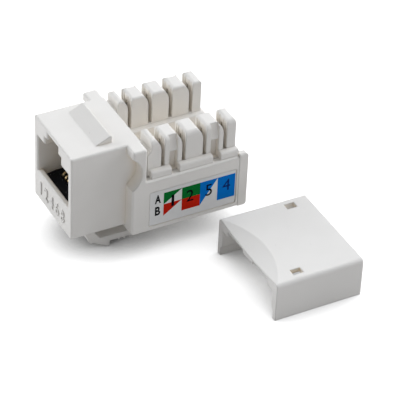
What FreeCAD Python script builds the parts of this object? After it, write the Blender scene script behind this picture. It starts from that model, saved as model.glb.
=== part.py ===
"""Keystone jack: an eight-way socket that snaps into a faceplate opening, with two rows of
punch-down terminals behind it and a cap that covers them.

X runs across the jack, Y from the plug's side to the rear, Z up. While the pieces are made,
heights are measured from the underside of the front block. Each finished piece is then moved
down by half the block's height, so the origin is the centre of the front face.
"""
import FreeCAD
import Part
import math
import os

V = FreeCAD.Vector

# ---------------------------------------------------------------- front block and shoulders
BLOCK_W = 14.5            # width that passes through the faceplate opening
BLOCK_H = 16.3
BLOCK_CORNER = 0.4        # rounding of the block's four long edges
BLOCK_LIP = 0.25          # rounding round the front face
SHOULDER_Y = 10.0         # front of the shoulders, which seat against the plate
FLANGE_T = 2.6            # from the shoulders to the rear of the flange
BODY_DROP = 0.7           # of the shoulders' and the tray's underside below the block's
BODY_W = 19.5             # over the shoulders and the rear tray
BODY_CORNER = 0.35
SCOOP_R = 3.8             # round relief under each top shoulder
SCOOP_AHEAD = 2.0         # from the shoulders forward to the relief's axis
SCOOP_DROP = 4.6          # from the top down to the relief's axis

# ---------------------------------------------------------------- rear tray
WALL_T = 1.3              # side walls of the tray
WALL_TOP = 9.7            # above the block's underside
WALL_SLOPE = 0.25         # fall of the wall's top edge towards the outside
FLOOR_T = 2.1
TRAY_PAST = 0.2           # what the tray runs past the last post
LABEL_RECESS = 0.2
LABEL_T = 0.12
LABEL_INSET_FRONT = 0.6
LABEL_INSET_REAR = 0.35
LABEL_RAISE = 0.9         # of the recess above the tray's underside
LABEL_H = 7.05
LABEL_CORNER = 0.4
LABEL_GAP = 0.1

# ---------------------------------------------------------------- plug port
PORT_W = 12.0
PORT_LOW = 5.65           # top of the sill under the port's mouth
PORT_H = 7.05
KEY_WIDE = 6.4            # first step of the keyway for the plug's latch
KEY_WIDE_H = 1.55
KEY_NARROW = 4.2
KEY_NARROW_H = 1.35
REAR_WALL_T = 1.0         # wall behind the port, above the comb
MOUTH_BEVEL = 0.22
SILL_T = 0.9              # depth of the white sill in front of the insert

# ---------------------------------------------------------------- fixed wedge and latch
CATCH_W = 10.6            # width of the wedge and of the latch
PLATE_GAP = 1.8           # between their rear faces and the shoulders, for the plate's edge
WEDGE_LENGTH = 2.9
WEDGE_H = 1.35
WEDGE_ROUND = 0.2
LATCH_ROOT_Y = 3.9        # the latch bends here
LATCH_ROOT_R = 0.6
LATCH_SEAT = 0.3          # how deep the root sits in the block's underside
LATCH_CLEAR = 0.04
LATCH_ARM_TOP = 3.0       # drop of the arm's upper face below the block
LATCH_ARM_T = 1.17
LATCH_REACH = 1.2         # from the bending axis back to the nose
LATCH_NOSE = 3.7          # drop of the nose's lower edge
LATCH_NOSE_ROUND = 0.3
LATCH_ELBOW_ROUND = 0.8
LATCH_HOOK = 5.4          # drop of the hook's lower edge
LATCH_HOOK_ROUND = 0.25
LATCH_TIP_ROUND = 0.3
GRIPS = 3                 # grip ridges under the free end
GRIP_H = 0.35
GRIP_PITCH = 1.0
GRIP_INSET = 0.7          # from the free end to the first ridge

# ---------------------------------------------------------------- circuit board
BOARD_T = 1.2
BOARD_GAP = 0.1           # clearance to the tray's walls
TONGUE_SETBACK = 1.8      # from the sill to the front of the board's narrow tongue
PIN_HOLE_R = 0.55         # radius of each plated hole

# ---------------------------------------------------------------- contact insert and springs
INSERT_GAP = 0.05         # clearance of the insert in the block
INSERT_DROP = 0.95        # from the sill's top down to the insert's floor
INSERT_DIP = 0.5          # further drop of the floor at its front edge
INSERT_RAMP = 2.4
INSERT_LIP = 0.2
COMB_T = 1.85
COMB_H = 4.8              # above the insert's floor
COMB_BRIDGE = 0.7         # bar that joins the comb's teeth at the top
COMB_BACK = 0.55          # wall behind the comb's slots
COMB_ROUND = 0.3
CONTACTS = 8
CONTACT_PITCH = 1.02
STRIP_W = 0.45            # section of each contact spring
STRIP_T = 0.35
STRIP_SIDE = 0.085        # clearance beside a spring in its groove
STRIP_UNDER = 0.1         # clearance round the spring's front bend
BEND_R = 0.5              # radius of the front bend, to its centre line
BEND_SETBACK = 3.25       # from the sill to the bend's axis
BEND_RAISE = 0.1          # of the bend's axis above the insert's floor
SPRING_RISE = 24.0        # slope of the free length, degrees
SPRING_LENGTH = 6.0
TIP_FALL = 24.0           # slope of the tip, degrees
TIP_LENGTH = 1.15
TIP_R = 0.8

# ---------------------------------------------------------------- terminal block
SLOTS = 4                 # wire slots a side
ROW_GAP = 0.8             # from the flange to the first post
FIRST_POST = 2.49         # length of the first and last posts along the row
LAST_POST = 1.64
SLOT_PITCH = 3.87
SLOT_GAP = 0.66
SLOT_DEPTH = 5.85
SLOT_SINK = 0.45          # of the slots' bottoms below the ledges
POST_INSET = 1.45         # of the posts' outer faces from the body's sides
POST_W = 4.1
POST_OUT_ROUND = 0.85     # rounding of a post's top at its outer, inner, front and rear edge
POST_IN_ROUND = 0.4
POST_FRONT_ROUND = 0.55
POST_REAR_ROUND = 0.35
LEAD_H = 1.15             # height of the lead-in at a post's rear, between its tangents
LEAD_W = 0.9              # what the lead-in takes from the post's top
LEAD_R = 3.0
STEP_BACK = 0.65          # the first post's upper part stands back from its foot
STEP_DROP = 1.95          # from the post's top down to the slope of that step
FLUTES = 5                # grip flutes across the front of each post behind a slot
FLUTE_W = 0.5
FLUTE_D = 0.2
FLUTE_RAISE = 1.4         # of the flutes' lower ends above the slots' bottoms
LEDGE_INSET = 0.4         # of the ledges from the body's sides
LEDGE_H = 1.35
LEDGE_ROUND = 0.4
LEDGE_SETBACK = 0.3       # from the first post's front to the ledge's front
LEDGE_PAST = 0.15         # what the ledge runs past the last post
POCKET_W = 1.5            # catch pockets in every second post
POCKET_TOP_D = 0.75
POCKET_TOP_H = 0.3        # straight part of the pocket's back, above its ramp
POCKET_BEND = 0.6
POCKET_LIP_D = 0.12
POCKET_CATCH_H = 3.0      # from the posts' tops down to the lip that the cap catches
POCKET_LOW_D = 1.0
RAIL_W = 1.0              # rail at the foot of each row's inner side
RAIL_H = 2.05
RAIL_ROUND = 0.25
RAIL_PAST = 0.25          # what the rail runs past the last post
VALLEY_DROP = 1.4         # from the walls' tops down to the floor between the rows
BASE_GAP = 0.1            # clearance of the block in the tray
END_T = 1.65
EAR_RAISE = 0.3           # of the rear wall's two ears above the tray's walls
EAR_W = 1.3
EAR_ROUND = 0.3
END_GAP = 0.06
END_ROUND = 0.5
END_LIP = 0.15

# ---------------------------------------------------------------- terminal contacts
BLADE_T = 0.4
FORK_W = 2.4
FORK_DROP = 1.4           # from the posts' tops down to the blades' tips
FORK_DEPTH = 3.6
FORK_GAP = 0.3
FORK_MOUTH = 0.9
FORK_FUNNEL = 0.8
FORK_CORNER = 0.25
FORK_SINK = 1.6           # from the slots' bottoms down to the fork's foot
FORK_NECK = 0.4
STEM_W = 1.0
STEM_RAISE = 0.4          # of the stem above the board
PIN_W = 0.6
PIN_CLEAR = 0.1           # between the pin's end and the tray's floor
BLADE_GAP = 0.05

# ---------------------------------------------------------------- cap
CAP_GAP = 0.25            # clearance of the skirts over the posts
CAP_SKIRT_T = 1.4
CAP_TOP_T = 0.85
CAP_HEADROOM = 1.1        # between the posts and the cap
CAP_FOOT_GAP = 0.05       # between the skirts and the ledges
CAP_ROUND = 0.7           # rounding of the long top edges
CAP_INNER_ROUND = 0.3
CAP_END_ROUND = 0.3
CAP_HOOK_GAP = 0.12
CAP_HOOK_IN = 0.75
CAP_HOOK_H = 1.2
CAP_HOOK_TIP = 0.12
CAP_WINDOW_W = 1.35
CAP_WINDOW_PAST = 0.2     # what the window runs past the hook's pocket at each end
CAP_DIP = 0.6             # depth of the thumb dip at the middle of the front edge
CAP_DIP_LENGTH = 3.4
CAP_TAB_W = 3.3
CAP_TAB_H = 0.55
CAP_TAB_T = 0.8
CAP_TAB_GAP = 0.1         # between the corner tabs and the first posts
CAP_FLARE = 0.5           # lead-in on the inner side of the skirts' feet
CAP_FLARE_H = 1.6
CAP_APART = 4.63          # between the cap, laid aside, and the jack
CAP_ASIDE_Y = 10.66

# ---------------------------------------------------------------- derived places
OVER = 1.0                # how far a cutting solid stands past what it cuts
JOIN = 0.1                # how far a piece of a moulding sinks into its neighbour
FLANGE_REAR = SHOULDER_Y + FLANGE_T
HALF_BODY = BODY_W / 2
HALF_TRAY = HALF_BODY - WALL_T
BODY_LOW = -BODY_DROP
FLOOR_TOP = BODY_LOW + FLOOR_T
SCOOP_Y = SHOULDER_Y - SCOOP_AHEAD
SCOOP_Z = BLOCK_H - SCOOP_DROP
CATCH_Y = SHOULDER_Y - PLATE_GAP
LATCH_ROOT_Z = LATCH_SEAT - LATCH_ROOT_R
LATCH_NOSE_Y = LATCH_ROOT_Y + LATCH_REACH
PORT_HIGH = PORT_LOW + PORT_H
KEY_WIDE_TOP = PORT_HIGH + KEY_WIDE_H
KEY_NARROW_TOP = KEY_WIDE_TOP + KEY_NARROW_H
PORT_DEPTH = FLANGE_REAR - REAR_WALL_T
BOARD_TOP = FLOOR_TOP + BOARD_T
TONGUE_FRONT = SILL_T + TONGUE_SETBACK
INSERT_HALF = PORT_W / 2 - INSERT_GAP
INSERT_REAR = FLANGE_REAR - INSERT_GAP
INSERT_TOP = PORT_LOW - INSERT_DROP
COMB_FRONT = INSERT_REAR - COMB_T
COMB_TOP = INSERT_TOP + COMB_H
BEND_Y = SILL_T + BEND_SETBACK
BEND_Z = INSERT_TOP + BEND_RAISE
ROW_FRONT = FLANGE_REAR + ROW_GAP
FIRST_SLOT = ROW_FRONT + FIRST_POST + SLOT_GAP / 2
LAST_SLOT = FIRST_SLOT + (SLOTS - 1) * SLOT_PITCH
ROW_REAR = LAST_SLOT + SLOT_GAP / 2 + LAST_POST
TRAY_END = ROW_REAR + TRAY_PAST
LEDGE_OUT = HALF_BODY - LEDGE_INSET
LEDGE_TOP = WALL_TOP + LEDGE_H
SLOT_BOTTOM = LEDGE_TOP - SLOT_SINK
POST_TOP = SLOT_BOTTOM + SLOT_DEPTH
POST_OUT = HALF_BODY - POST_INSET
POST_IN = POST_OUT - POST_W
RAIL_IN = POST_IN - RAIL_W
VALLEY_FLOOR = WALL_TOP - VALLEY_DROP
POCKET_CATCH = POST_TOP - POCKET_CATCH_H
BLADE_X = (POST_OUT + POST_IN) / 2
FORK_TOP = POST_TOP - FORK_DROP
FORK_LOW = SLOT_BOTTOM - FORK_SINK
CAP_IN = POST_OUT + CAP_GAP
CAP_HALF = CAP_IN + CAP_SKIRT_T
CAP_LOW = LEDGE_TOP + CAP_FOOT_GAP
CAP_UNDER = POST_TOP + CAP_HEADROOM
CAP_HIGH = CAP_UNDER + CAP_TOP_T
CAP_FRONT = ROW_FRONT
CAP_REAR = ROW_REAR
CAP_ASIDE_X = HALF_BODY + CAP_HALF + CAP_APART


# ---------------------------------------------------------------- making outlines
def wire_of(corners, place):
    """Closed wire through (a, b, radius) corners, each rounded by its own radius."""
    spots = [V(a, b, 0) for a, b, _ in corners]
    stretches = []
    for i, (_, _, radius) in enumerate(corners):
        here = spots[i]
        if radius <= 0:
            stretches.append((here, None, here))
            continue
        back = (spots[i - 1] - here).normalize()
        ahead = (spots[(i + 1) % len(spots)] - here).normalize()
        half = back.getAngle(ahead) / 2
        middle = (back + ahead).normalize()
        reach = radius / math.tan(half)
        centre = here + middle * (radius / math.sin(half))
        stretches.append((here + back * reach, centre - middle * radius, here + ahead * reach))
    edges = []
    for i, (start, crest, end) in enumerate(stretches):
        if crest is not None:
            edges.append(Part.Arc(place(start), place(crest), place(end)).toShape())
        following = stretches[(i + 1) % len(stretches)][0]
        if (following - end).Length > 1e-6:
            edges.append(Part.LineSegment(place(end), place(following)).toShape())
    return Part.Wire(edges)


def along_x(corners, low, high):
    """Solid of a (y, z) outline between two places on X."""
    face = Part.Face(wire_of(corners, lambda p: V(low, p.x, p.y)))
    return face.extrude(V(high - low, 0, 0))


def along_y(corners, low, high):
    """Solid of an (x, z) outline between two places on Y."""
    face = Part.Face(wire_of(corners, lambda p: V(p.x, low, p.y)))
    return face.extrude(V(0, high - low, 0))


def along_z(corners, low, high):
    """Solid of an (x, y) outline between two places on Z."""
    face = Part.Face(wire_of(corners, lambda p: V(p.x, p.y, low)))
    return face.extrude(V(0, 0, high - low))


def block(x, y, z):
    """Box between two places on each axis."""
    return Part.makeBox(x[1] - x[0], y[1] - y[0], z[1] - z[0], V(x[0], y[0], z[0]))


def rounded_where(shape, radius, chosen):
    """Round the edges that the test picks by their middle point."""
    edges = []
    for edge in shape.Edges:
        middle = edge.valueAt((edge.FirstParameter + edge.LastParameter) / 2)
        if chosen(middle):
            edges.append(edge)
    return shape.makeFillet(radius, edges) if edges else shape


def mirrored(shape):
    """The same shape on the jack's other side."""
    return shape.mirror(V(0, 0, 0), V(1, 0, 0))


def same(a, b):
    """True for two places that coincide."""
    return abs(a - b) < 1e-4


def slot_places():
    """Y of each wire slot's centre."""
    return [FIRST_SLOT + i * SLOT_PITCH for i in range(SLOTS)]


def post_spans():
    """(front, rear) of each post in a row."""
    edges = [ROW_FRONT]
    for y in slot_places():
        edges += [y - SLOT_GAP / 2, y + SLOT_GAP / 2]
    edges.append(ROW_REAR)
    return list(zip(edges[0::2], edges[1::2]))


def pocket_spans():
    """(front, rear) of the catch pocket in every second post."""
    spans = []
    for front, rear in post_spans()[1::2]:
        middle = (front + rear) / 2
        spans.append((middle - POCKET_W / 2, middle + POCKET_W / 2))
    return spans


def contact_places():
    """X of each contact spring."""
    first = -CONTACT_PITCH * (CONTACTS - 1) / 2
    return [first + i * CONTACT_PITCH for i in range(CONTACTS)]


# ---------------------------------------------------------------- housing
def front_block():
    """Block that goes through the faceplate, with soft long edges and a soft front rim."""
    half = BLOCK_W / 2
    outline = [(-half, 0, BLOCK_CORNER), (half, 0, BLOCK_CORNER),
               (half, BLOCK_H, BLOCK_CORNER), (-half, BLOCK_H, BLOCK_CORNER)]
    solid = along_y(outline, 0, FLANGE_REAR)
    return rounded_where(solid, BLOCK_LIP, lambda m: same(m.y, 0))


def on_body_rim(point):
    """True on the outer edges of the shoulders and flange that a hand meets."""
    outside = same(abs(point.x), HALF_BODY)
    return outside and (same(point.z, BODY_LOW) or same(point.z, BLOCK_H) or same(point.y, SHOULDER_Y))


def shoulder_scoop(side):
    """Round relief under one top shoulder."""
    return Part.makeCylinder(SCOOP_R, HALF_BODY, V(side * BLOCK_W / 2, SCOOP_Y, SCOOP_Z),
                             V(side, 0, 0))


def wall_bevel(side):
    """Wedge of air over one tray wall, so its top falls towards the outside."""
    outer = HALF_BODY + OVER
    inner = LEDGE_OUT - BASE_GAP
    low = WALL_TOP - WALL_SLOPE
    high = WALL_TOP + OVER
    corners = [(outer, low, 0), (outer, high, 0), (inner, high, 0), (inner, WALL_TOP, 0),
               (HALF_BODY, low, 0)]
    cut = along_y(corners, FLANGE_REAR, TRAY_END + OVER)
    return cut if side > 0 else mirrored(cut)


def rear_body():
    """Shoulders, flange and tray sides, with the round relief under each top shoulder."""
    profile = [(SHOULDER_Y, BODY_LOW, BODY_CORNER), (TRAY_END, BODY_LOW, 0),
               (TRAY_END, WALL_TOP, 0), (FLANGE_REAR, WALL_TOP, 0),
               (FLANGE_REAR, BLOCK_H, BODY_CORNER), (SHOULDER_Y, BLOCK_H, BODY_CORNER)]
    solid = along_x(profile, -HALF_BODY, HALF_BODY)
    solid = rounded_where(solid, BODY_CORNER, on_body_rim)
    for side in (-1, 1):
        solid = solid.cut(shoulder_scoop(side)).cut(wall_bevel(side))
    return solid


def port_outline(grow):
    """Stepped (x, z) outline of the port, larger all round by a given amount."""
    half = PORT_W / 2 + grow
    wide = KEY_WIDE / 2 + grow
    narrow = KEY_NARROW / 2 + grow
    low = PORT_LOW - grow
    right = [(half, low, 0), (half, PORT_HIGH + grow, 0), (wide, PORT_HIGH + grow, 0),
             (wide, KEY_WIDE_TOP + grow, 0), (narrow, KEY_WIDE_TOP + grow, 0),
             (narrow, KEY_NARROW_TOP + grow, 0)]
    left = [(-x, z, r) for x, z, r in reversed(right)]
    return right + left


def port_cut():
    """Stepped opening for the plug, with the keyway for its latch at the top."""
    straight = along_y(port_outline(0), -OVER, PORT_DEPTH)
    wide_end = wire_of(port_outline(MOUTH_BEVEL), lambda p: V(p.x, 0, p.y))
    narrow_end = wire_of(port_outline(0), lambda p: V(p.x, MOUTH_BEVEL, p.y))
    mouth = Part.makeLoft([wide_end, narrow_end], True, True)
    return straight.fuse(mouth)


def insert_room():
    """Space behind the sill for the contact insert and the board's tongue."""
    half = PORT_W / 2
    low = block((-half, half), (SILL_T, FLANGE_REAR + OVER), (FLOOR_TOP, PORT_LOW + OVER))
    rear = block((-half, half), (PORT_DEPTH - OVER, FLANGE_REAR + OVER),
                 (FLOOR_TOP, COMB_TOP + INSERT_GAP))
    return low.fuse(rear)


def top_wedge():
    """Fixed wedge on the block's top that holds the plate's upper edge."""
    root = BLOCK_H - BLOCK_CORNER
    front = CATCH_Y - WEDGE_LENGTH
    profile = [(front, root, 0), (front, BLOCK_H, 0), (CATCH_Y, BLOCK_H + WEDGE_H, WEDGE_ROUND),
               (CATCH_Y, root, 0)]
    return along_x(profile, -CATCH_W / 2, CATCH_W / 2)


def latch_seat():
    """Groove in the block's underside in which the latch bends."""
    length = CATCH_W + 2 * LATCH_CLEAR
    return Part.makeCylinder(LATCH_ROOT_R + LATCH_CLEAR, length,
                             V(-length / 2, LATCH_ROOT_Y, LATCH_ROOT_Z), V(1, 0, 0))


def label_outline(gap):
    """(y, z) outline of the label's recess, smaller all round by a given gap."""
    front = FLANGE_REAR + LABEL_INSET_FRONT + gap
    rear = TRAY_END - LABEL_INSET_REAR - gap
    low = BODY_LOW + LABEL_RAISE + gap
    high = BODY_LOW + LABEL_RAISE + LABEL_H - gap
    corner = LABEL_CORNER - gap
    return [(front, low, corner), (rear, low, corner), (rear, high, corner), (front, high, corner)]


def label_recess(side):
    """Shallow recess in the tray's side for the wiring label."""
    cut = along_x(label_outline(0), HALF_BODY - LABEL_RECESS, HALF_BODY + OVER)
    return cut if side > 0 else mirrored(cut)


def housing():
    """White moulding: front block, wedge, shoulders and the tray open to the rear."""
    solid = front_block().fuse(rear_body()).fuse(top_wedge()).removeSplitter()
    tray = block((-HALF_TRAY, HALF_TRAY), (FLANGE_REAR, TRAY_END + OVER),
                 (FLOOR_TOP, BLOCK_H + OVER))
    for cut in (tray, port_cut(), insert_room(), latch_seat(), label_recess(1), label_recess(-1)):
        solid = solid.cut(cut)
    return solid


# ---------------------------------------------------------------- latch
def grip_ridge(y, low):
    """Sharp ridge across the underside of the latch's free end."""
    sunk = low + JOIN
    corners = [(y - GRIP_H, sunk, 0), (y, low - GRIP_H, 0), (y + GRIP_H, sunk, 0)]
    return along_x(corners, -CATCH_W / 2, CATCH_W / 2)


def keystone_latch():
    """Springy arm under the block: round root, ramp, hook and a free end with grip ridges."""
    root = Part.makeCylinder(LATCH_ROOT_R, CATCH_W, V(-CATCH_W / 2, LATCH_ROOT_Y, LATCH_ROOT_Z),
                             V(1, 0, 0))
    low = -LATCH_ARM_TOP - LATCH_ARM_T
    profile = [(LATCH_ROOT_Y - LATCH_ROOT_R, LATCH_ROOT_Z, 0),
               (LATCH_NOSE_Y - LATCH_ARM_T / 2, -LATCH_NOSE, LATCH_NOSE_ROUND),
               (LATCH_NOSE_Y, -LATCH_NOSE, 0), (CATCH_Y, -LATCH_HOOK, LATCH_HOOK_ROUND),
               (CATCH_Y, low, 0), (FLANGE_REAR, low, LATCH_TIP_ROUND),
               (FLANGE_REAR, -LATCH_ARM_TOP, LATCH_TIP_ROUND),
               (LATCH_NOSE_Y + LATCH_ARM_T, -LATCH_ARM_TOP, LATCH_ELBOW_ROUND),
               (LATCH_ROOT_Y + LATCH_ROOT_R, LATCH_ROOT_Z, 0)]
    solid = along_x(profile, -CATCH_W / 2, CATCH_W / 2).fuse(root)
    for i in range(GRIPS):
        solid = solid.fuse(grip_ridge(FLANGE_REAR - GRIP_INSET - i * GRIP_PITCH, low))
    return solid.removeSplitter()


# ---------------------------------------------------------------- board, insert and springs
def circuit_board():
    """T-shaped board: a narrow tongue under the insert and a wide part under the terminals."""
    wide = HALF_TRAY - BOARD_GAP
    tongue = INSERT_HALF - BOARD_GAP
    step = FLANGE_REAR + BOARD_GAP
    rear = TRAY_END - BOARD_GAP
    outline = [(-tongue, TONGUE_FRONT, 0), (tongue, TONGUE_FRONT, 0), (tongue, step, 0),
               (wide, step, 0), (wide, rear, 0), (-wide, rear, 0), (-wide, step, 0),
               (-tongue, step, 0)]
    solid = along_z(outline, FLOOR_TOP, BOARD_TOP)
    for y in slot_places():
        for side in (-1, 1):
            foot = V(side * BLADE_X, y, FLOOR_TOP - OVER)
            solid = solid.cut(Part.makeCylinder(PIN_HOLE_R, BOARD_T + 2 * OVER, foot))
    return solid


def contact_insert():
    """Black carrier: floor of the port, grooves for the front bends and the comb at the rear."""
    front = SILL_T + INSERT_GAP
    tongue = TONGUE_FRONT - BOARD_GAP
    profile = [(front, FLOOR_TOP, 0), (tongue, FLOOR_TOP, 0), (tongue, BOARD_TOP, 0),
               (INSERT_REAR, BOARD_TOP, 0), (INSERT_REAR, COMB_TOP, COMB_ROUND),
               (COMB_FRONT, COMB_TOP, COMB_ROUND), (COMB_FRONT, INSERT_TOP, 0),
               (front + INSERT_RAMP, INSERT_TOP, 0),
               (front, INSERT_TOP - INSERT_DIP, INSERT_LIP)]
    solid = along_x(profile, -INSERT_HALF, INSERT_HALF)
    half = STRIP_W / 2 + STRIP_SIDE
    radius = BEND_R + STRIP_T / 2 + STRIP_UNDER
    for x in contact_places():
        groove = Part.makeCylinder(radius, 2 * half, V(x - half, BEND_Y, BEND_Z), V(1, 0, 0))
        comb = block((x - half, x + half), (COMB_FRONT - OVER, INSERT_REAR - COMB_BACK),
                     (INSERT_TOP, COMB_TOP - COMB_BRIDGE))
        solid = solid.cut(groove.fuse(comb))
    return solid


def turned(reach, angle):
    """A (y, z) reach turned about a line along X, in degrees."""
    c, s = math.cos(math.radians(angle)), math.sin(math.radians(angle))
    return V(0, reach.y * c - reach.z * s, reach.y * s + reach.z * c)


def spring_side(offset):
    """One side of a spring's strip: a chain of arcs and lines at an offset from its middle."""
    bend = V(0, BEND_Y, BEND_Z)
    rise = turned(V(0, SPRING_LENGTH, 0), SPRING_RISE)
    outward = BEND_R + offset
    loop = [bend + turned(V(0, 0, outward), SPRING_RISE + turn) for turn in (180, 90, 0)]
    crest = bend + rise + turned(V(0, 0, BEND_R - TIP_R), SPRING_RISE)
    knee = [crest + turned(V(0, 0, TIP_R + offset), turn) for turn in (SPRING_RISE, 0, -TIP_FALL)]
    tip = knee[-1] + turned(V(0, TIP_LENGTH, 0), -TIP_FALL)
    return loop, knee, tip


def contact_spring(x):
    """Gold-plated strip: front bend, rising free length, and a tip that falls into the comb."""
    loop, knee, tip = spring_side(STRIP_T / 2)
    under_loop, under_knee, under_tip = spring_side(-STRIP_T / 2)
    edges = [Part.Arc(*loop), Part.LineSegment(loop[-1], knee[0]), Part.Arc(*knee),
             Part.LineSegment(knee[-1], tip), Part.LineSegment(tip, under_tip),
             Part.LineSegment(under_tip, under_knee[-1]), Part.Arc(*reversed(under_knee)),
             Part.LineSegment(under_knee[0], under_loop[-1]), Part.Arc(*reversed(under_loop)),
             Part.LineSegment(under_loop[0], loop[0])]
    face = Part.Face(Part.Wire([edge.toShape() for edge in edges]))
    solid = face.extrude(V(STRIP_W, 0, 0))
    solid.translate(V(x - STRIP_W / 2, 0, 0))
    return solid


# ---------------------------------------------------------------- terminal block
def post_front(front, first):
    """Upper corners of a post's front: upright, and stepped back on the row's first post."""
    if not first:
        return [(front, POST_TOP, POST_FRONT_ROUND)]
    slope = POST_TOP - STEP_DROP
    return [(front + STEP_BACK, POST_TOP, POST_FRONT_ROUND), (front + STEP_BACK, slope, 0),
            (front, slope - STEP_BACK, 0)]


def post_rear(rear, last):
    """Upper corners of a post's rear: a long arc that leads a wire into the slot behind it."""
    if last:
        return [(rear, POST_TOP, POST_REAR_ROUND)]
    return [(rear, POST_TOP - LEAD_H, LEAD_R), (rear - LEAD_W, POST_TOP, POST_REAR_ROUND)]


def post(front, rear, first, last):
    """One post: flat outer and inner faces under a round-shouldered top."""
    outline = [(front, VALLEY_FLOOR, 0), (rear, VALLEY_FLOOR, 0)]
    outline += post_rear(rear, last) + post_front(front, first)
    side = along_x(outline, POST_IN, POST_OUT)
    crown = along_y([(POST_IN, VALLEY_FLOOR, 0), (POST_OUT, VALLEY_FLOOR, 0),
                     (POST_OUT, POST_TOP, POST_OUT_ROUND), (POST_IN, POST_TOP, POST_IN_ROUND)],
                    front - OVER, rear + OVER)
    return side.common(crown)


def flutes(y):
    """Grip flutes that stand across the front of the post behind a slot, clear of the blade."""
    tools = []
    step = POST_W / (FLUTES + 1)
    near = y - FLUTE_D
    deep = y + FLUTE_D
    for i in range(FLUTES):
        x = POST_IN + step * (i + 1)
        if abs(x - BLADE_X) < FLUTE_W:
            continue
        corners = [(x - FLUTE_W / 2, near, 0), (x + FLUTE_W / 2, near, 0), (x, deep, 0)]
        tools.append(along_z(corners, SLOT_BOTTOM + FLUTE_RAISE, POST_TOP + OVER))
    return tools


def pocket(front, rear):
    """Catch pocket: a ramp down the post's upper half and a deeper channel under its lip."""
    back = POST_OUT - POCKET_TOP_D
    ramp = [(back, POST_TOP + OVER, 0), (back, POST_TOP - POCKET_TOP_H, POCKET_BEND),
            (POST_OUT - POCKET_LIP_D, POCKET_CATCH, 0), (POST_OUT + OVER, POCKET_CATCH, 0),
            (POST_OUT + OVER, POST_TOP + OVER, 0)]
    channel = block((POST_OUT - POCKET_LOW_D, LEDGE_OUT + OVER), (front, rear),
                    (WALL_TOP, POCKET_CATCH))
    return along_y(ramp, front, rear).fuse(channel)


def terminal_row():
    """One row of posts on its foot, with the ledge outside and the rail inside."""
    sunk = VALLEY_FLOOR - OVER
    foot = block((POST_IN, POST_OUT), (ROW_FRONT, ROW_REAR), (sunk, SLOT_BOTTOM))
    root = POST_OUT - JOIN
    ledge = along_y([(root, WALL_TOP, 0), (LEDGE_OUT, WALL_TOP, 0),
                     (LEDGE_OUT, LEDGE_TOP, LEDGE_ROUND), (root, LEDGE_TOP, 0)],
                    ROW_FRONT + LEDGE_SETBACK, ROW_REAR + LEDGE_PAST)
    rail_top = VALLEY_FLOOR + RAIL_H
    rail = along_y([(RAIL_IN, sunk, 0), (POST_IN + OVER, sunk, 0), (POST_IN + OVER, rail_top, 0),
                    (RAIL_IN, rail_top, RAIL_ROUND)],
                   FLANGE_REAR + BASE_GAP, ROW_REAR + RAIL_PAST)
    row = foot.fuse(ledge).fuse(rail)
    spans = post_spans()
    for i, (front, rear) in enumerate(spans):
        row = row.fuse(post(front, rear, i == 0, i == len(spans) - 1))
    for front, rear in pocket_spans():
        row = row.cut(pocket(front, rear))
    for y in slot_places():
        for tool in flutes(y + SLOT_GAP / 2):
            row = row.cut(tool)
    return row


def blade_channel(y):
    """Slot in the row for one terminal contact, open underneath."""
    gap = BLADE_T / 2 + BLADE_GAP
    wide = FORK_W / 2 + BLADE_GAP
    return block((BLADE_X - gap, BLADE_X + gap), (y - wide, y + wide),
                 (BOARD_TOP - OVER, FORK_TOP + BLADE_GAP))


def end_plate():
    """Rear wall that closes the tray's open end, low between two ears."""
    front = TRAY_END + END_GAP
    rear = front + END_T
    top = WALL_TOP + EAR_RAISE
    profile = [(front, BODY_LOW, 0), (rear, BODY_LOW, END_ROUND), (rear, top, END_ROUND),
               (front, top, END_LIP)]
    ear = HALF_BODY - EAR_W
    face = [(-HALF_BODY, BODY_LOW, 0), (HALF_BODY, BODY_LOW, 0), (HALF_BODY, top, EAR_ROUND),
            (ear, top, EAR_ROUND), (ear, VALLEY_FLOOR, 0), (-ear, VALLEY_FLOOR, 0),
            (-ear, top, EAR_ROUND), (-HALF_BODY, top, EAR_ROUND)]
    plate = along_x(profile, -HALF_BODY, HALF_BODY)
    return plate.common(along_y(face, front, rear))


def terminal_block():
    """White moulding with both rows of posts, the base in the tray and the rear wall."""
    half = HALF_TRAY - BASE_GAP
    base = block((-half, half), (FLANGE_REAR + BASE_GAP, TRAY_END + END_GAP + END_T / 2),
                 (BOARD_TOP, VALLEY_FLOOR))
    row = terminal_row()
    solid = base.fuse(end_plate()).fuse(row).fuse(mirrored(row))
    for y in slot_places():
        channel = blade_channel(y)
        solid = solid.cut(channel).cut(mirrored(channel))
    return solid.removeSplitter()


# ---------------------------------------------------------------- terminal contacts
def terminal_contact(side, y):
    """Forked blade that cuts into a wire, on a stem that ends in a pin in the board."""
    pin = PIN_W / 2
    stem = STEM_W / 2
    half = FORK_W / 2
    gap = FORK_GAP / 2
    stem_low = BOARD_TOP + STEM_RAISE
    right = [(pin, FLOOR_TOP + PIN_CLEAR), (pin, stem_low), (stem, stem_low),
             (stem, FORK_LOW - FORK_NECK), (half, FORK_LOW), (half, FORK_TOP - FORK_CORNER),
             (half - FORK_CORNER, FORK_TOP), (FORK_MOUTH / 2, FORK_TOP),
             (gap, FORK_TOP - FORK_FUNNEL), (gap, FORK_TOP - FORK_DEPTH)]
    corners = [(y + a, b, 0) for a, b in right]
    corners += [(y - a, b, 0) for a, b in reversed(right)]
    inside = side * BLADE_X - BLADE_T / 2
    return along_x(corners, inside, inside + BLADE_T)


# ---------------------------------------------------------------- label and cap
def wiring_label(side):
    """Printed label in the recess of the tray's side."""
    inside = HALF_BODY - LABEL_RECESS
    label = along_x(label_outline(LABEL_GAP), inside, inside + LABEL_T)
    return label if side > 0 else mirrored(label)


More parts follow.
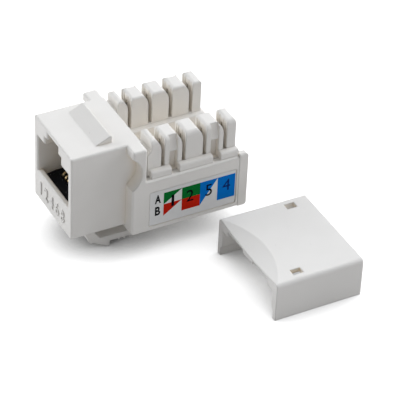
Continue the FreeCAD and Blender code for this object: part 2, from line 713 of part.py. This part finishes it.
def cap_shell():
    """Channel-shaped cap: a top plate between two skirts, open at both ends."""
    outer = [(-CAP_HALF, CAP_LOW, 0), (CAP_HALF, CAP_LOW, 0), (CAP_HALF, CAP_HIGH, CAP_ROUND),
             (-CAP_HALF, CAP_HIGH, CAP_ROUND)]
    bend = CAP_LOW + CAP_FLARE_H
    foot = CAP_IN + CAP_FLARE
    inner = [(-foot, CAP_LOW - OVER, 0), (foot, CAP_LOW - OVER, 0), (foot, bend, 0),
             (CAP_IN, bend + CAP_FLARE, 0), (CAP_IN, CAP_UNDER, CAP_INNER_ROUND),
             (-CAP_IN, CAP_UNDER, CAP_INNER_ROUND), (-CAP_IN, bend + CAP_FLARE, 0),
             (-foot, bend, 0)]
    shell = along_y(outer, CAP_FRONT, CAP_REAR)
    shell = rounded_where(shell, CAP_END_ROUND,
                          lambda m: same(m.y, CAP_REAR) and not same(m.z, CAP_LOW))
    return shell.cut(along_y(inner, CAP_FRONT - OVER, CAP_REAR + OVER))


def thumb_dip():
    """Large tilted cylinder that hollows the top towards its front edge."""
    radius = (CAP_HALF ** 2 + CAP_DIP ** 2) / (2 * CAP_DIP)
    tilt = math.atan2(CAP_DIP, CAP_DIP_LENGTH)
    axis = V(0, math.cos(tilt), math.sin(tilt))
    up = V(0, -math.sin(tilt), math.cos(tilt))
    middle = V(0, CAP_FRONT, CAP_HIGH - CAP_DIP) + up * radius
    reach = CAP_DIP_LENGTH * 2
    return Part.makeCylinder(radius, 2 * reach, middle - axis * reach, axis)


def cap_hook(front, rear):
    """Snap hook on a skirt's inner side, which catches under a post's lip."""
    sunk = CAP_IN + CAP_SKIRT_T / 2
    top = POCKET_CATCH - CAP_HOOK_GAP
    low = top - CAP_HOOK_H
    profile = [(sunk, top, 0), (CAP_IN - CAP_HOOK_IN, top, CAP_HOOK_TIP), (CAP_IN, low, 0),
               (sunk, low, 0)]
    return along_y(profile, front + CAP_HOOK_GAP, rear - CAP_HOOK_GAP)


def cap_window(front, rear):
    """Opening in the top above a hook, left by the mould's core."""
    return block((CAP_IN - CAP_WINDOW_W, CAP_IN),
                 (front - CAP_WINDOW_PAST, rear + CAP_WINDOW_PAST),
                 (POCKET_CATCH, CAP_HIGH + OVER))


def cap_tabs():
    """Tabs under the top's front edge: one in the middle and one in each corner."""
    length = (CAP_FRONT, CAP_FRONT + CAP_TAB_T)
    half = CAP_TAB_W / 2
    middle = block((-half, half), length, (CAP_UNDER - CAP_TAB_H, CAP_UNDER + JOIN))
    corner = block((CAP_IN - half, CAP_IN + CAP_SKIRT_T / 2), length,
                   (POST_TOP + CAP_TAB_GAP, CAP_UNDER + JOIN))
    return [middle, corner, mirrored(corner)]


def dust_cap():
    """Cap over both rows, made where it fits and laid beside the jack."""
    cap = cap_shell()
    first, last = pocket_spans()[0], pocket_spans()[-1]
    for addition in [cap_hook(*first), mirrored(cap_hook(*last))] + cap_tabs():
        cap = cap.fuse(addition)
    for cut in (cap_window(*first), mirrored(cap_window(*last)), thumb_dip()):
        cap = cap.cut(cut)
    cap = cap.removeSplitter()
    cap.translate(V(CAP_ASIDE_X, CAP_ASIDE_Y, -LATCH_HOOK - CAP_LOW))
    return cap


# ---------------------------------------------------------------- whole jack
def pieces():
    """Every piece by its name."""
    made = {"housing": housing(), "keystone_latch": keystone_latch(),
            "terminal_block": terminal_block(), "circuit_board": circuit_board(),
            "contact_insert": contact_insert(), "wiring_label_right": wiring_label(1),
            "wiring_label_left": wiring_label(-1), "dust_cap": dust_cap()}
    for i, x in enumerate(contact_places()):
        made["contact_spring_%d" % (i + 1)] = contact_spring(x)
    number = 0
    for side in (1, -1):
        for y in slot_places():
            number += 1
            made["terminal_contact_%d" % number] = terminal_contact(side, y)
    return made


def main():
    """Write each piece to its own file."""
    os.makedirs("parts", exist_ok=True)
    for name, shape in pieces().items():
        shape.translate(V(0, 0, -BLOCK_H / 2))
        if len(shape.Solids) != 1 or not shape.isValid():
            print("check", name, len(shape.Solids), shape.isValid())
        shape.Solids[0].exportStep("parts/%s.step" % name)


main()
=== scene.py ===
"""Looks of the keystone jack: moulded plastic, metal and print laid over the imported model."""
import math

import bmesh
import bpy
from mathutils import Matrix, Vector


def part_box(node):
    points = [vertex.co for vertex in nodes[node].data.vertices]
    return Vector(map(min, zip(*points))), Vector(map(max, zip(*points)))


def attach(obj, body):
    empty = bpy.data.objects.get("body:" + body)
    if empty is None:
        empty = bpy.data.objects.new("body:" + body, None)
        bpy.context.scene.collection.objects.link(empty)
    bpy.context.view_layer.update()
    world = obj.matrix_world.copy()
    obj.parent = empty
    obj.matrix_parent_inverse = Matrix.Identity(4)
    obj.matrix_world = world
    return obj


MM = 0.001

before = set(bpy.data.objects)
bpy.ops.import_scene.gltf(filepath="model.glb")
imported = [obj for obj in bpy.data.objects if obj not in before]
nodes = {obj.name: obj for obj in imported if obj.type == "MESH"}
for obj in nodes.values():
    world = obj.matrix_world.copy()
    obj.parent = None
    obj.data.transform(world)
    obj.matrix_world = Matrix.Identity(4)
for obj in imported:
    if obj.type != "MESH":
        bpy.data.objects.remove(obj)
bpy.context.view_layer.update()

BLOCK_MIDDLE = 8.15 * MM         # height of the origin above the front block's underside
FRONT_FACE_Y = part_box("housing")[0][1]
LABEL_FACE_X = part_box("wiring_label_right")[1][0]
CAP_LOW, CAP_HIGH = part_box("dust_cap")
FLOOR_Z = CAP_LOW[2]


# ---------------------------------------------------------------- building nodes
def feed(tree, socket, value):
    """Set a socket to a plain value, or link another node's output to it."""
    if isinstance(value, (int, float, tuple)):
        socket.default_value = value
    else:
        tree.links.new(value, socket)


def group_with(name, inputs, outputs):
    """Empty node group with the sockets given as (name, kind, value)."""
    made = bpy.data.node_groups.new(name, "ShaderNodeTree")
    for label, kind, value in inputs:
        socket = made.interface.new_socket(label, in_out="INPUT", socket_type=kind)
        socket.default_value = value
    for label, kind in outputs:
        made.interface.new_socket(label, in_out="OUTPUT", socket_type=kind)
    entry = made.nodes.new("NodeGroupInput")
    leave = made.nodes.new("NodeGroupOutput")
    return made, entry, leave


def noise_in(tree, place, scale, detail, roughness=0.5):
    """Noise texture read at the surface's place on the object."""
    noise = tree.nodes.new("ShaderNodeTexNoise")
    for label, value in (("Vector", place), ("Scale", scale), ("Detail", detail),
                         ("Roughness", roughness)):
        feed(tree, noise.inputs[label], value)
    return noise.outputs["Fac"]


def ranged(tree, value, low, high, out_low, out_high):
    """Value carried from one range to another, held inside it."""
    node = tree.nodes.new("ShaderNodeMapRange")
    for label, amount in (("Value", value), ("From Min", low), ("From Max", high),
                          ("To Min", out_low), ("To Max", out_high)):
        feed(tree, node.inputs[label], amount)
    return node.outputs["Result"]


def blended(tree, factor, first, second, mode="MIX"):
    """Colour between two colours by a factor."""
    node = tree.nodes.new("ShaderNodeMix")
    node.data_type = "RGBA"
    node.blend_type = mode
    for index, value in ((0, factor), (6, first), (7, second)):
        feed(tree, node.inputs[index], value)
    return node.outputs[2]


def worked(tree, operation, *values, clamp=False):
    """Result of one Math node."""
    node = tree.nodes.new("ShaderNodeMath")
    node.operation = operation
    node.use_clamp = clamp
    for socket, value in zip(node.inputs, values):
        feed(tree, socket, value)
    return node.outputs[0]


def openness(tree, reach, own_piece_only):
    """One where nothing stands within reach of the surface, falling to nought in a hollow."""
    node = tree.nodes.new("ShaderNodeAmbientOcclusion")
    node.samples = 8
    node.only_local = own_piece_only
    node.inputs["Distance"].default_value = reach
    return node.outputs["AO"]


# ---------------------------------------------------------------- surface groups
# Painted shade: hollows get a warmer colour, the more closed in they are, standing in for shade
# and warm bounce light.
PAINTED_SHADE_REACH = 12.0 * MM
PAINTED_SHADE_DEEP, PAINTED_SHADE_OPEN = 0.15, 0.62        # openness at the full painted shade and at none
FLOW_SCALE = 260.0
SPECK_SCALE = 2600.0
MOTTLE_SHADE = (0.80, 0.79, 0.77, 1)


def moulded_skin():
    """Fine spark-eroded skin, slow flow mottle, stray specks, soft edges and painted warm shade
    in hollows.
    """
    tree, entry, leave = group_with(
        "moulded_skin",
        [("Colour", "NodeSocketColor", (0.8, 0.8, 0.8, 1)),
         ("Speck", "NodeSocketColor", (0.4, 0.4, 0.4, 1)),
         ("Painted Hollow Shade", "NodeSocketColor", (1.12, 0.98, 0.76, 1)),
         ("Grain Scale", "NodeSocketFloat", 9000.0), ("Mottle", "NodeSocketFloat", 0.03),
         ("Roughness", "NodeSocketFloat", 0.45), ("Rough Change", "NodeSocketFloat", 0.08),
         ("Speck Level", "NodeSocketFloat", 0.8), ("Edge Radius", "NodeSocketFloat", 0.0)],
        [("Colour", "NodeSocketColor"), ("Roughness", "NodeSocketFloat"),
         ("Height", "NodeSocketFloat"), ("Normal", "NodeSocketVector")])
    given = entry.outputs
    place = tree.nodes.new("ShaderNodeTexCoord").outputs["Object"]
    grain = noise_in(tree, place, given["Grain Scale"], 3.0, 0.6)
    flow = noise_in(tree, place, FLOW_SCALE, 2.0)
    specks = noise_in(tree, place, SPECK_SCALE, 1.0)

    # painted warm shade: the colour is tinted warmer where the surface is closed in
    open_air = openness(tree, PAINTED_SHADE_REACH, True)
    depth = ranged(tree, open_air, PAINTED_SHADE_DEEP, PAINTED_SHADE_OPEN, 1.0, 0.0)
    shaded_colour = blended(tree, 1.0, given["Colour"], given["Painted Hollow Shade"], "MULTIPLY")
    hollow_shaded = blended(tree, depth, given["Colour"], shaded_colour)
    shade = ranged(tree, flow, 0.3, 0.7, 0.0, given["Mottle"])
    darker = blended(tree, 1.0, given["Colour"], MOTTLE_SHADE, "MULTIPLY")
    mottled = blended(tree, shade, hollow_shaded, darker)
    on_speck = worked(tree, "GREATER_THAN", specks, given["Speck Level"])
    feed(tree, leave.inputs["Colour"], blended(tree, on_speck, mottled, given["Speck"]))

    rough = worked(tree, "MULTIPLY_ADD", flow, given["Rough Change"], given["Roughness"])
    feed(tree, leave.inputs["Roughness"], rough)
    feed(tree, leave.inputs["Height"], grain)

    edge = tree.nodes.new("ShaderNodeBevel")
    edge.samples = 4
    feed(tree, edge.inputs["Radius"], given["Edge Radius"])
    feed(tree, leave.inputs["Normal"], edge.outputs["Normal"])
    return tree


STREAK_STRETCH = (1.0, 1.0, 0.08)
CLOUD_SCALE = 900.0
CLOUD_ROUGHNESS = 0.18           # what the clouds add to the roughness


def drawn_metal():
    """Streaks and stains of a stamped and plated strip."""
    tree, entry, leave = group_with(
        "drawn_metal",
        [("Colour", "NodeSocketColor", (0.8, 0.8, 0.8, 1)),
         ("Stain", "NodeSocketColor", (0.4, 0.4, 0.4, 1)),
         ("Roughness", "NodeSocketFloat", 0.25), ("Streak Scale", "NodeSocketFloat", 9000.0)],
        [("Colour", "NodeSocketColor"), ("Roughness", "NodeSocketFloat"),
         ("Height", "NodeSocketFloat")])
    given = entry.outputs
    place = tree.nodes.new("ShaderNodeTexCoord").outputs["Object"]
    stretch = tree.nodes.new("ShaderNodeMapping")
    stretch.inputs["Scale"].default_value = STREAK_STRETCH
    feed(tree, stretch.inputs["Vector"], place)
    streak = noise_in(tree, stretch.outputs["Vector"], given["Streak Scale"], 2.0)
    cloud = noise_in(tree, place, CLOUD_SCALE, 3.0)
    stain = ranged(tree, cloud, 0.5, 0.75, 0.0, 0.5)
    rough = worked(tree, "MULTIPLY_ADD", cloud, CLOUD_ROUGHNESS, given["Roughness"])
    feed(tree, leave.inputs["Colour"], blended(tree, stain, given["Colour"], given["Stain"]))
    feed(tree, leave.inputs["Roughness"], rough)
    feed(tree, leave.inputs["Height"], streak)
    return tree


SKIN = moulded_skin()
DRAWN = drawn_metal()


# ---------------------------------------------------------------- finishes
def finish_from(name, group, settings, relief, constants):
    """Material whose colour, roughness and relief (strength, depth) come from a group."""
    material = bpy.data.materials.new(name)
    material.use_nodes = True
    tree = material.node_tree
    shader = tree.nodes["Principled BSDF"]
    surface = tree.nodes.new("ShaderNodeGroup")
    surface.node_tree = group
    for label, value in settings.items():
        surface.inputs[label].default_value = value
    bump = tree.nodes.new("ShaderNodeBump")
    bump.inputs["Strength"].default_value, bump.inputs["Distance"].default_value = relief
    feed(tree, bump.inputs["Height"], surface.outputs["Height"])
    if "Normal" in surface.outputs:
        feed(tree, bump.inputs["Normal"], surface.outputs["Normal"])
    feed(tree, shader.inputs["Base Color"], surface.outputs["Colour"])
    feed(tree, shader.inputs["Roughness"], surface.outputs["Roughness"])
    feed(tree, shader.inputs["Normal"], bump.outputs["Normal"])
    for label, value in constants.items():
        shader.inputs[label].default_value = value
    return material


# Every finish built on moulded_skin carries its painted warm shade in hollows.
WHITE_SKIN = {"Colour": (0.85, 0.825, 0.785, 1), "Speck": (0.45, 0.43, 0.40, 1),
              "Grain Scale": 11000.0, "Mottle": 0.10, "Roughness": 0.42,
              "Rough Change": 0.10, "Speck Level": 0.83, "Edge Radius": 0.35 * MM}
WHITE_RELIEF = (0.25, 4e-6)
WHITE_SHINE = {"Metallic": 0.0, "IOR": 1.45, "Specular IOR Level": 0.45}

white_abs = finish_from("white_abs", SKIN, WHITE_SKIN, WHITE_RELIEF, WHITE_SHINE)

# Same as white_abs, with a milder painted warm shade in its hollows.
block_abs = finish_from(
    "block_abs", SKIN, {**WHITE_SKIN, "Painted Hollow Shade": (1.05, 1.01, 0.95, 1)},
    WHITE_RELIEF, WHITE_SHINE)

cap_abs = finish_from(
    "cap_abs", SKIN,
    {"Colour": (0.85, 0.828, 0.793, 1), "Speck": (0.45, 0.43, 0.40, 1), "Grain Scale": 9000.0,
     "Mottle": 0.08, "Roughness": 0.46, "Rough Change": 0.08, "Speck Level": 0.82,
     "Edge Radius": 0.3 * MM},
    (0.3, 5e-6), {"Metallic": 0.0, "IOR": 1.45, "Specular IOR Level": 0.4})

black_carrier = finish_from(
    "black_carrier", SKIN,
    {"Colour": (0.003, 0.004, 0.007, 1), "Speck": (0.30, 0.29, 0.27, 1), "Grain Scale": 7000.0,
     "Mottle": 0.4, "Roughness": 0.32, "Rough Change": 0.2, "Speck Level": 0.74},
    (0.4, 6e-6), {"Metallic": 0.0, "IOR": 1.5, "Specular IOR Level": 0.15})

board_mask = finish_from(
    "board_mask", SKIN,
    {"Colour": (0.02, 0.14, 0.055, 1), "Speck": (0.05, 0.25, 0.10, 1), "Grain Scale": 3000.0,
     "Mottle": 0.5, "Roughness": 0.28, "Rough Change": 0.2, "Speck Level": 0.78},
    (0.4, 1e-5), {"Metallic": 0.0, "Coat Weight": 0.3, "Coat Roughness": 0.12})

label_film = finish_from(
    "label_film", SKIN,
    {"Colour": (0.80, 0.795, 0.785, 1), "Speck": (0.55, 0.54, 0.52, 1), "Grain Scale": 5200.0,
     "Mottle": 0.12, "Roughness": 0.36, "Rough Change": 0.12, "Speck Level": 0.84},
    (0.2, 4e-6), {"Metallic": 0.0, "Specular IOR Level": 0.45})

gold_plate = finish_from(
    "gold_plate", DRAWN,
    {"Colour": (0.62, 0.48, 0.27, 1), "Stain": (0.36, 0.26, 0.13, 1), "Roughness": 0.22,
     "Streak Scale": 8000.0},
    (0.2, 3e-6), {"Metallic": 1.0})

tinned_bronze = finish_from(
    "tinned_bronze", DRAWN,
    {"Colour": (0.52, 0.49, 0.44, 1), "Stain": (0.20, 0.18, 0.15, 1), "Roughness": 0.24,
     "Streak Scale": 12000.0},
    (0.3, 3e-6), {"Metallic": 1.0})

SPECK_LIFT = 0.12                # how much lighter an ink's specks are


def printed_ink(name, colour, cover=1.0):
    """Screen-printed ink with slightly uneven cover."""
    speck = tuple(min(1.0, SPECK_LIFT + c) for c in colour)
    return finish_from(
        name, SKIN,
        {"Colour": colour + (1,), "Speck": speck + (1,), "Grain Scale": 6000.0, "Mottle": 0.6,
         "Roughness": 0.38, "Rough Change": 0.15, "Speck Level": 0.76},
        (0.25, 4e-6), {"Metallic": 0.0, "Specular IOR Level": 0.02, "Alpha": cover})


green_ink = printed_ink("green_ink", (0.001, 0.175, 0.028))
red_ink = printed_ink("red_ink", (0.62, 0.017, 0.005))
blue_ink = printed_ink("blue_ink", (0.001, 0.19, 0.66))
orange_ink = printed_ink("orange_ink", (0.60, 0.16, 0.012))
brown_ink = printed_ink("brown_ink", (0.10, 0.038, 0.016))
black_ink = printed_ink("black_ink", (0.006, 0.006, 0.008))
overprint_ink = printed_ink("overprint_ink", (0.004, 0.004, 0.010), 0.84)
navy_ink = printed_ink("navy_ink", (0.004, 0.022, 0.14))


def dress(node_names, material):
    """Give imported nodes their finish."""
    for name in node_names:
        slots = nodes[name].material_slots
        if slots:
            for slot in slots:
                slot.material = material
        else:
            nodes[name].data.materials.append(material)


CONTACTS = range(1, 9)
dress(["housing", "keystone_latch"], white_abs)
dress(["terminal_block"], block_abs)
dress(["dust_cap"], cap_abs)
dress(["contact_insert"], black_carrier)
dress(["circuit_board"], board_mask)
dress(["wiring_label_right", "wiring_label_left"], label_film)
dress(["contact_spring_%d" % i for i in CONTACTS], gold_plate)
dress(["terminal_contact_%d" % i for i in CONTACTS], tinned_bronze)


# ---------------------------------------------------------------- faces and characters
def side_place(side, y, height, lift):
    """Frame on the jack's side: across along the print, up, and out of the surface."""
    spot = Vector((side * (LABEL_FACE_X + lift), y, height))
    return Vector((0, side, 0)), Vector((0, 0, 1)), Vector((side, 0, 0)), spot


def front_place(x, height):
    """Frame on the front face."""
    spot = Vector((x, FRONT_FACE_Y, height))
    return Vector((1, 0, 0)), Vector((0, 0, 1)), Vector((0, -1, 0)), spot


def placed_in(place):
    """Matrix that carries flat work onto a face."""
    across, up, out, spot = place
    turn = Matrix((across, up, out)).transposed().to_4x4()
    return Matrix.Translation(spot) @ turn


def add_piece(name, mesh, material, body):
    """Object that rides on a body and takes the finish given to it."""
    mesh.materials.clear()
    mesh.materials.append(material)
    piece = bpy.data.objects.new(name, mesh)
    bpy.context.scene.collection.objects.link(piece)
    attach(piece, body)


def glyph_mesh(text, width, tall, depth, weight):
    """Outline of one character, scaled to its own width and height about its middle."""
    half = 0.5
    curve = bpy.data.curves.new("glyph", "FONT")
    curve.body = text
    curve.size = 1.0
    curve.offset = weight
    curve.resolution_u = 8
    curve.extrude = half
    holder = bpy.data.objects.new("glyph", curve)
    bpy.context.scene.collection.objects.link(holder)
    bpy.context.view_layer.update()
    outline = holder.evaluated_get(bpy.context.evaluated_depsgraph_get())
    mesh = bpy.data.meshes.new_from_object(outline)
    bpy.data.objects.remove(holder)
    xs = [v.co.x for v in mesh.vertices]
    ys = [v.co.y for v in mesh.vertices]
    middle = Vector(((min(xs) + max(xs)) / 2, (min(ys) + max(ys)) / 2, 0))
    scale = (width / (max(xs) - min(xs)), tall / (max(ys) - min(ys)))
    for v in mesh.vertices:
        lean = v.co - middle
        v.co = Vector((lean.x * scale[0], lean.y * scale[1], (v.co.z + half) * depth))
    return mesh


# ---------------------------------------------------------------- print on the labels
# All in millimetres; heights are taken from the front block's underside.
FIELD_EDGES = (15.9, 19.32, 22.75, 26.05, 29.40)
FIELD_LOW = 1.72
FIELD_SPLIT = 4.10
FIELD_HIGH = 6.47
FIELD_LIFT = 0.003               # of the ink's underside above the label
FIELD_T = 0.006
FIGURE_LIFT = 0.012              # of a character's underside above the label
FIGURE_T = 0.005
NUMBER_TALL = 2.35
NUMBER_PLACES = ((17.62, 4.42, 0.5), (20.85, 4.42, 1.35), (24.4, 4.45, 1.25),
                 (27.75, 4.5, 1.45))                     # y, height, width
ROW_LETTER_Y = 14.80
ROW_LETTER_WEIGHT = 0.035
ROW_LETTERS = (("A", 5.5, 1.12, 1.75), ("B", 3.05, 0.98, 1.8))     # height, width, tall


def flat_print(name, corners, side, ink):
    """Patch of ink on the label, given by its (y, height) corners."""
    work = bmesh.new()
    under = side * (LABEL_FACE_X + FIELD_LIFT * MM)
    low = [work.verts.new(Vector((under, y * MM, height * MM - BLOCK_MIDDLE)))
           for y, height in corners]
    face = work.faces.new(low)
    raised = bmesh.ops.extrude_face_region(work, geom=[face])
    moved = [v for v in raised["geom"] if isinstance(v, bmesh.types.BMVert)]
    bmesh.ops.translate(work, verts=moved, vec=Vector((side * FIELD_T * MM, 0, 0)))
    bmesh.ops.recalc_face_normals(work, faces=work.faces)
    mesh = bpy.data.meshes.new(name)
    work.to_mesh(mesh)
    work.free()
    add_piece(name, mesh, ink, "jack")


def field(name, index, low, high, side, ink, striped):
    """One colour field: whole, or only its upper front half where the wire is striped."""
    front, rear = FIELD_EDGES[index], FIELD_EDGES[index + 1]
    corners = [(front, low), (rear, high), (front, high)]
    if not striped:
        corners = [(front, low), (rear, low), (rear, high), (front, high)]
    flat_print(name, corners, side, ink)


def side_glyph(name, text, y, height, width, tall, side, ink, weight=0.0):
    """Character on the label about its middle (y, height)."""
    mesh = glyph_mesh(text, width * MM, tall * MM, FIGURE_T * MM, weight)
    place = side_place(side, y * MM, height * MM - BLOCK_MIDDLE, FIGURE_LIFT * MM)
    mesh.transform(placed_in(place))
    add_piece(name, mesh, ink, "jack")


def wiring_print(side, tag, numbers, upper_ink, lower_ink, whole_ink, last_ink):
    """Fields, contact numbers and row letters of one label."""
    fields = (("1a", 0, FIELD_SPLIT, FIELD_HIGH, upper_ink, True),
              ("1b", 0, FIELD_LOW, FIELD_SPLIT, lower_ink, True),
              ("2a", 1, FIELD_SPLIT, FIELD_HIGH, upper_ink, False),
              ("2b", 1, FIELD_LOW, FIELD_SPLIT, lower_ink, False),
              ("3", 2, FIELD_LOW, FIELD_HIGH, whole_ink, True),
              ("4", 3, FIELD_LOW, FIELD_HIGH, whole_ink, False))
    for mark, index, low, high, ink, striped in fields:
        field("field_%s_%s" % (tag, mark), index, low, high, side, ink, striped)
    inks = (overprint_ink, overprint_ink, overprint_ink, last_ink)
    for number, (y, height, width), ink in zip(numbers, NUMBER_PLACES, inks):
        side_glyph("digit_%s_%s" % (tag, number), number, y, height, width, NUMBER_TALL,
                   side, ink)
    for letter, height, width, tall in ROW_LETTERS:
        side_glyph("row_%s_%s" % (tag, letter.lower()), letter, ROW_LETTER_Y, height, width,
                   tall, side, black_ink, ROW_LETTER_WEIGHT)


wiring_print(1, "right", "1254", green_ink, red_ink, blue_ink, navy_ink)
wiring_print(-1, "left", "3687", orange_ink, green_ink, brown_ink, overprint_ink)


# ---------------------------------------------------------------- moulded marks
# In millimetres; the height is taken from the front block's underside.
RAISED_NUMBERS = "12468"
RAISED_FIRST_X = -4.55
RAISED_PITCH = 2.15
RAISED_HEIGHT = 2.85
RAISED_TALL = 2.5
RAISED_WIDTH = 1.35
RAISED_WIDTH_OF_ONE = 0.45
RAISED_RELIEF = 0.15
RAISED_WEIGHT = 0.02

STUB_RADIUS = 0.34
STUB_SQUASH = (1.0, 0.55, 0.6)
STUB_ASIDE = 3.0                 # from the cap's middle
STUB_SUNK = 0.12                 # of its middle in from the cap's rear
STUB_DROP = 0.55                 # of its middle below the cap's top


def raised_numbers():
    """Row of low raised figures under the port."""
    for i, figure in enumerate(RAISED_NUMBERS):
        x = RAISED_FIRST_X + i * RAISED_PITCH
        width = RAISED_WIDTH_OF_ONE if figure == "1" else RAISED_WIDTH
        mesh = glyph_mesh(figure, width * MM, RAISED_TALL * MM, RAISED_RELIEF * MM,
                          RAISED_WEIGHT)
        mesh.transform(placed_in(front_place(x * MM, RAISED_HEIGHT * MM - BLOCK_MIDDLE)))
        add_piece("raised_number_%s" % figure, mesh, white_abs, "jack")


def gate_stub():
    """Stub that the mould's gate left on the cap's rear edge."""
    middle = (CAP_LOW[0] + CAP_HIGH[0]) / 2
    spot = Vector((middle - STUB_ASIDE * MM, CAP_HIGH[1] - STUB_SUNK * MM,
                   CAP_HIGH[2] - STUB_DROP * MM))
    work = bmesh.new()
    bmesh.ops.create_uvsphere(work, u_segments=20, v_segments=10, radius=STUB_RADIUS * MM)
    bmesh.ops.scale(work, verts=work.verts, vec=Vector(STUB_SQUASH))
    bmesh.ops.translate(work, verts=work.verts, vec=spot)
    mesh = bpy.data.meshes.new("gate_stub")
    work.to_mesh(mesh)
    work.free()
    for polygon in mesh.polygons:
        polygon.use_smooth = True
    add_piece("gate_stub", mesh, cap_abs, "cap")


raised_numbers()
gate_stub()


# ---------------------------------------------------------------- stage, light and camera
FLOOR_SIZE = 6.0
FLOOR_SEEN = (0.45, 0.445, 0.435, 1)     # the floor's own colour as it is looked at
FLOOR_FOR_LIGHT = (0.60, 0.59, 0.58, 1)  # and as it throws light back on the jack
PAINTED_SHADOW_REACH = 10.0 * MM
PAINTED_SHADOW_DEEP, PAINTED_SHADOW_END = 0.2, 0.8       # openness where the floor's glow starts and is full; below the start the floor shows a painted shadow
FLOOR_GLOW = 0.95

LIGHT_COLOUR = (0.955, 0.98, 1.02)
AIR_STRENGTH = 0.37
LAMP_SPREAD = 45.0                       # degrees

AIM = (0, 15.0, -0.15)                   # millimetres
CAMERA_AZIMUTH = 60.7                    # degrees
CAMERA_ELEVATION = 37.1
CAMERA_ROLL = 2.75
CAMERA_DISTANCE = 383.4                  # millimetres
CAMERA_ASIDE = 11.2
CAMERA_DROP = 7.46
LENS_LENGTH = 204.75
LENS_WIDTH = 36.0


def seen_by(tree, labels):
    """One where a ray of any of the named kinds arrives, otherwise nought."""
    path = tree.nodes.new("ShaderNodeLightPath")
    total = path.outputs[labels[0]]
    for label in labels[1:]:
        total = worked(tree, "ADD", total, path.outputs[label], clamp=True)
    return total


def pale_floor():
    """Wide floor that looks white, keeps the object's shadow and sends little light back; its
    glow fades near the objects and so paints a darker shadow there.
    """
    bpy.ops.mesh.primitive_plane_add(size=FLOOR_SIZE, location=(0, 0, FLOOR_Z))
    floor = bpy.context.object
    floor.name = "floor"
    material = bpy.data.materials.new("pale_floor")
    material.use_nodes = True
    tree = material.node_tree
    shader = tree.nodes["Principled BSDF"]
    shader.inputs["Roughness"].default_value = 0.9
    shader.inputs["Specular IOR Level"].default_value = 0.1
    shader.inputs["Emission Color"].default_value = (1, 1, 1, 1)
    seen = seen_by(tree, ("Is Camera Ray", "Is Glossy Ray", "Is Transmission Ray"))
    feed(tree, shader.inputs["Base Color"], blended(tree, seen, FLOOR_FOR_LIGHT, FLOOR_SEEN))
    # painted shadow: the floor's white glow fades out where the objects stand close over it
    open_air = openness(tree, PAINTED_SHADOW_REACH, False)
    painted_shadow_glow = ranged(tree, open_air, PAINTED_SHADOW_DEEP, PAINTED_SHADOW_END, 0.0, FLOOR_GLOW)
    feed(tree, shader.inputs["Emission Strength"], worked(tree, "MULTIPLY", painted_shadow_glow, seen))
    floor.data.materials.append(material)


def studio_air():
    """World that reads white to the eye and gives a low, even light."""
    world = bpy.data.worlds.new("studio_air")
    bpy.context.scene.world = world
    world.use_nodes = True
    tree = world.node_tree
    tree.nodes.clear()
    seen = seen_by(tree, ("Is Camera Ray", "Is Transmission Ray"))
    dim = tree.nodes.new("ShaderNodeBackground")
    dim.inputs["Color"].default_value = LIGHT_COLOUR + (1,)
    dim.inputs["Strength"].default_value = AIR_STRENGTH
    white = tree.nodes.new("ShaderNodeBackground")
    white.inputs["Color"].default_value = (1, 1, 1, 1)
    white.inputs["Strength"].default_value = 1.0
    mix = tree.nodes.new("ShaderNodeMixShader")
    leave = tree.nodes.new("ShaderNodeOutputWorld")
    feed(tree, mix.inputs[0], seen)
    feed(tree, mix.inputs[1], dim.outputs[0])
    feed(tree, mix.inputs[2], white.outputs[0])
    feed(tree, leave.inputs["Surface"], mix.outputs[0])


def soft_sun(name, strength, towards):
    """Even light from far away, as from a large soft box."""
    lamp = bpy.data.lights.new(name, "SUN")
    lamp.energy = strength
    lamp.angle = math.radians(LAMP_SPREAD)
    lamp.color = LIGHT_COLOUR
    holder = bpy.data.objects.new(name, lamp)
    bpy.context.scene.collection.objects.link(holder)
    holder.rotation_euler = Vector(towards).to_track_quat("-Z", "Y").to_euler()


def studio_camera():
    """Long lens, from the right, the front and above, a little rolled."""
    azimuth, elevation = math.radians(CAMERA_AZIMUTH), math.radians(CAMERA_ELEVATION)
    roll = math.radians(CAMERA_ROLL)
    right = Vector((math.cos(azimuth), math.sin(azimuth), 0))
    back = Vector((math.cos(elevation) * math.sin(azimuth),
                   -math.cos(elevation) * math.cos(azimuth), math.sin(elevation)))
    up = back.cross(right)
    side = right * math.cos(roll) + up * math.sin(roll)
    top = up * math.cos(roll) - right * math.sin(roll)
    spot = (Vector(AIM) * MM + back * (CAMERA_DISTANCE * MM) + side * (CAMERA_ASIDE * MM)
            - top * (CAMERA_DROP * MM))
    lens = bpy.data.cameras.new("camera")
    lens.lens = LENS_LENGTH
    lens.sensor_width = LENS_WIDTH
    lens.clip_start = 0.01
    lens.clip_end = 20.0
    camera = bpy.data.objects.new("camera", lens)
    bpy.context.scene.collection.objects.link(camera)
    turn = Matrix((side, top, back)).transposed()
    camera.matrix_world = Matrix.Translation(spot) @ turn.to_4x4()
    bpy.context.scene.camera = camera


pale_floor()
studio_air()
soft_sun("back", 2.12, (0.0, -1.0, -0.7))
soft_sun("front_left", 1.45, (0.8, 0.8, -0.5))
soft_sun("back_left", 0.54, (1.0, -1.0, -0.7))
studio_camera()
bpy.context.scene.view_settings.view_transform = "Standard"
